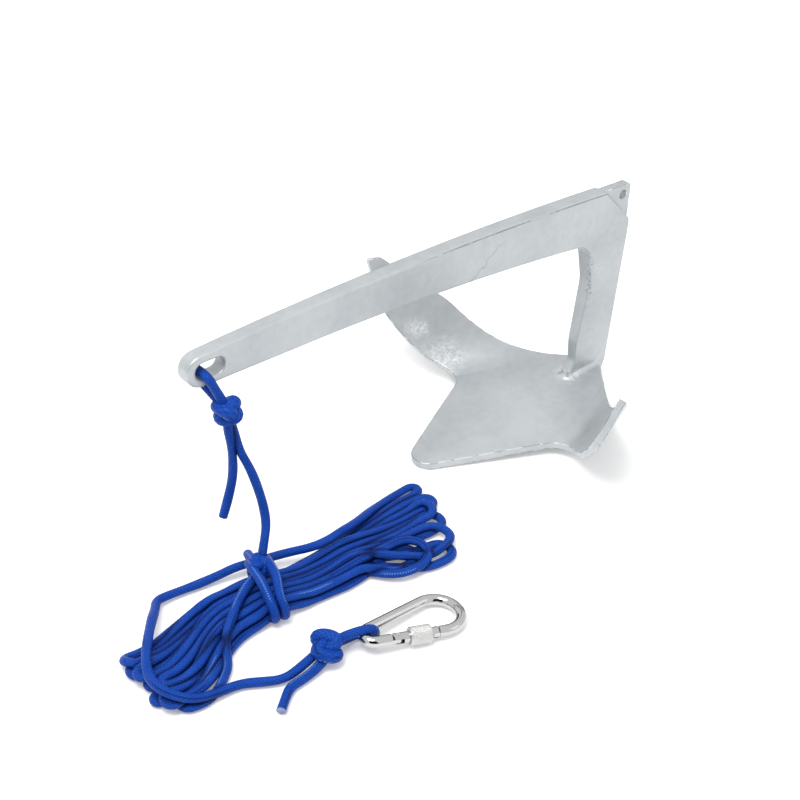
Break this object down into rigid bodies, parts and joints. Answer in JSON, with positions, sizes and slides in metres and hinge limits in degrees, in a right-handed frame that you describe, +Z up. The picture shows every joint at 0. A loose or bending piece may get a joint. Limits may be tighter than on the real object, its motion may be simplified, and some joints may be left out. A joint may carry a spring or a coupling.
{
  "type": "claw anchor",
  "caption": "Galvanised claw anchor with a slotted shank eye, a crown lug hole, and a braided rope that ends in a screw-gate snap hook.",
  "frame": {"origin": "on the floor below the middle of the anchor, as it stands on its claw", "axes": "+X from the rope eye to the crown, +Z up, +Y away from the hanging rope"},
  "size_m": [0.5174, 0.3143, 0.184],
  "materials": {
    "galvanised": "hot-dip galvanised, satin grey",
    "rope": "braided polypropylene line, royal blue",
    "hook_steel": "polished stainless steel",
    "sleeve_steel": "knurled steel"
  },
  "bodies": {
    "anchor": {"claw_anchor": "galvanised", "rope_eye_knot": "rope", "rope_tie_knot": "rope", "rope_hook_knot": "rope", "rope_hank": "rope", "rope_eye_loop": "rope", "rope_eye_tail": "rope", "rope_hanging": "rope", "rope_lead": "rope", "rope_hook_loop": "rope", "rope_hook_tail": "rope", "snap_hook_body": "hook_steel", "snap_hook_hinge_pin": "hook_steel"},
    "gate": {"snap_hook_gate": "hook_steel", "snap_hook_latch_pin": "hook_steel"},
    "sleeve": {"snap_hook_sleeve": "sleeve_steel"}
  },
  "joints": [
    {"name": "gate_hinge", "type": "hinge", "parent": "anchor", "child": "gate", "pos_m": [-0.15116, -0.15281, 0.00912], "axis": [0.0938, -0.014, 0.9955], "range_deg": [0, 24], "stiffness_Nm_per_rad": 0.02, "springref_deg": -28.65},
    {"name": "sleeve_slide", "type": "slide", "parent": "gate", "child": "sleeve", "axis": [0.9379, -0.3342, -0.0931], "range_m": [0, 0.0075]}
  ]
}
